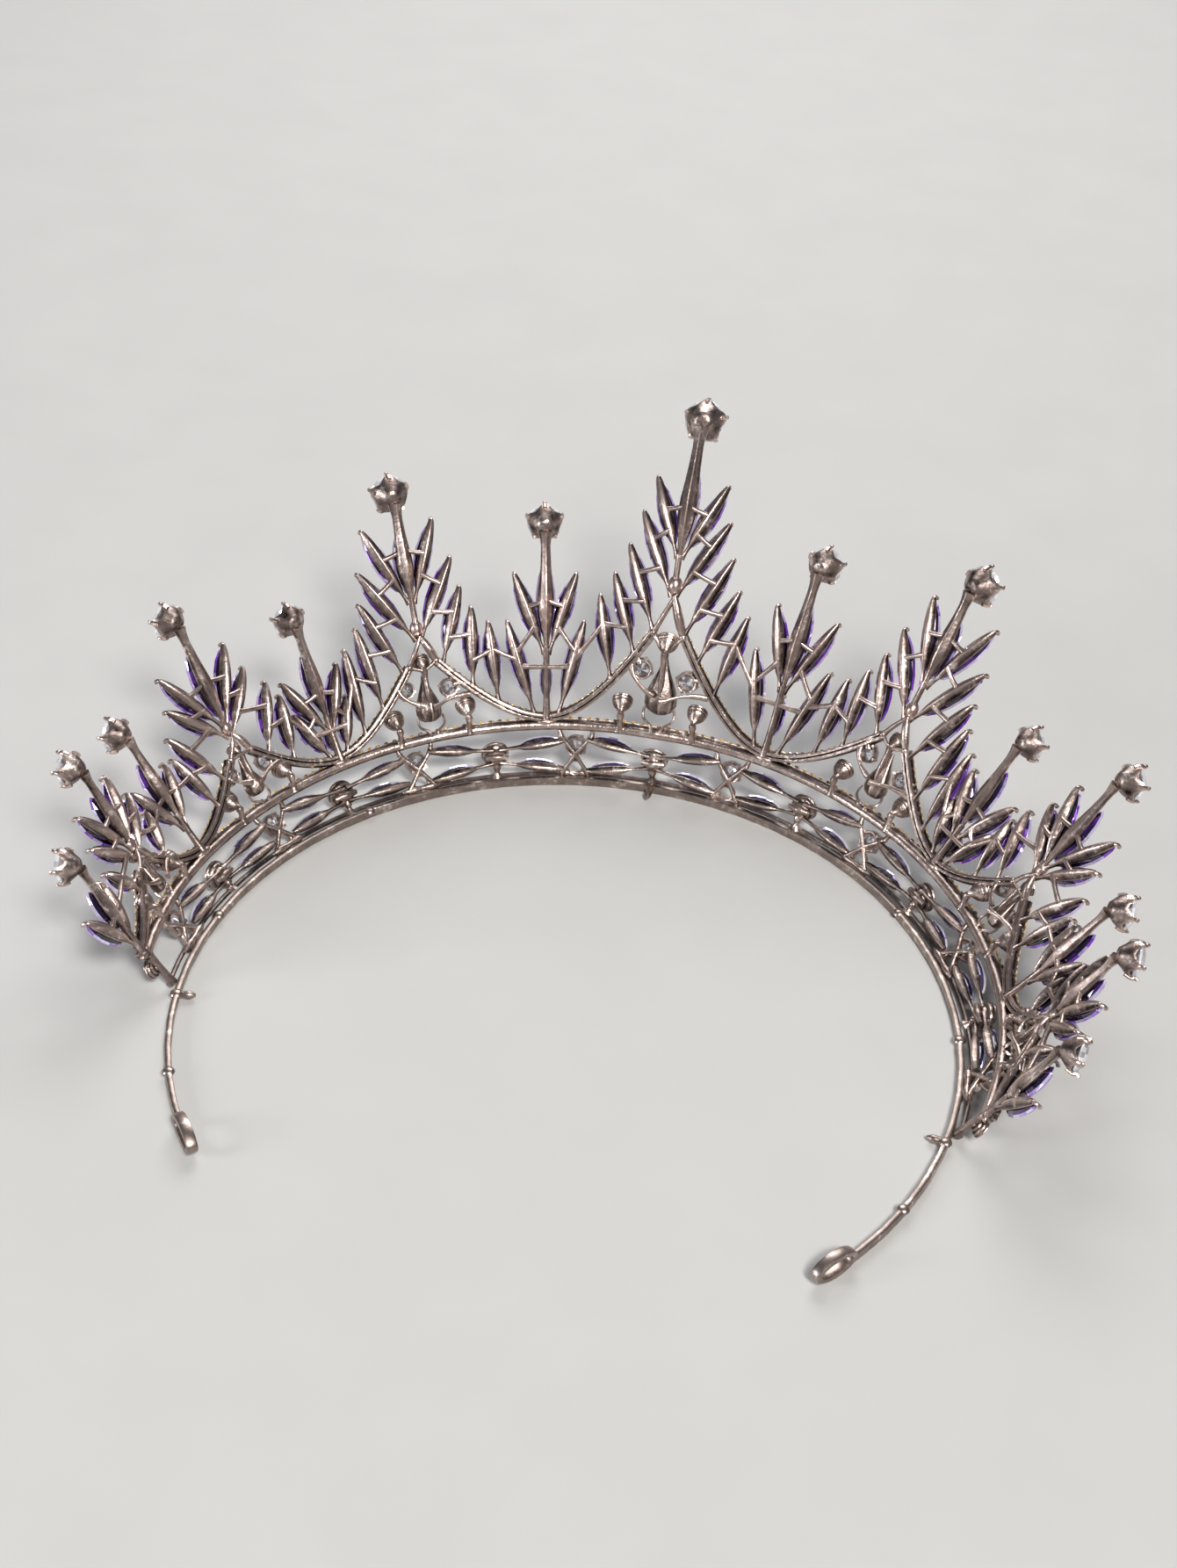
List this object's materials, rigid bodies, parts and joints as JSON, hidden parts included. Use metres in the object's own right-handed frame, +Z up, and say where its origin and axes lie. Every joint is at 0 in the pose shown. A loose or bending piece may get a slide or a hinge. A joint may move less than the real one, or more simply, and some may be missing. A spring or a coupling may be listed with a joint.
{
  "type": "bridal crown",
  "caption": "Open bridal crown: leaf-shaped stone settings on tall clawed spires over swags and a jewelled frieze, on a slim band ending in hairpin loops.",
  "frame": {"origin": "on the surface that the crown stands on, under the middle of its bounding box", "axes": "+Z up, -Y towards the front of the crown, +X towards the wearer's left"},
  "size_m": [0.1918, 0.1564, 0.0677],
  "materials": {
    "gunmetal": "cast base metal with polished gunmetal-black plating",
    "clear_glass": "faceted clear crystal with a foiled back",
    "violet_glass": "faceted violet glass with an iridescent coating and a foiled back",
    "violet_glass_light": "faceted light violet glass with a foiled back"
  },
  "bodies": {
    "root": {"frame": "gunmetal", "tip_stone_1": "clear_glass", "tip_stone_2": "clear_glass", "tip_stone_3": "clear_glass", "tip_stone_4": "clear_glass", "tip_stone_5": "clear_glass", "tip_stone_6": "clear_glass", "tip_stone_7": "clear_glass", "tip_stone_8": "clear_glass", "tip_stone_9": "clear_glass", "tip_stone_10": "clear_glass", "tip_stone_11": "clear_glass", "tip_stone_12": "clear_glass", "tip_stone_13": "clear_glass", "tip_stone_14": "clear_glass", "tip_stone_15": "clear_glass", "spire_stone_1": "violet_glass", "spire_stone_2": "violet_glass", "spire_stone_3": "violet_glass", "spire_stone_4": "violet_glass", "spire_stone_5": "violet_glass", "spire_stone_6": "violet_glass", "spire_stone_7": "violet_glass", "spire_stone_8": "violet_glass", "spire_stone_9": "violet_glass", "spire_stone_10": "violet_glass", "spire_stone_11": "violet_glass", "spire_stone_12": "violet_glass", "spire_stone_13": "violet_glass", "spire_stone_14": "violet_glass", "spire_stone_15": "violet_glass", "pear_stone_1": "violet_glass", "pear_stone_2": "violet_glass", "pear_stone_3": "violet_glass", "pear_stone_4": "violet_glass", "pear_stone_5": "violet_glass", "pear_stone_6": "violet_glass", "pear_stone_7": "violet_glass", "leaf_stones": "violet_glass", "frieze_stones": "violet_glass_light", "round_stones": "clear_glass"}
  },
  "joints": []
}
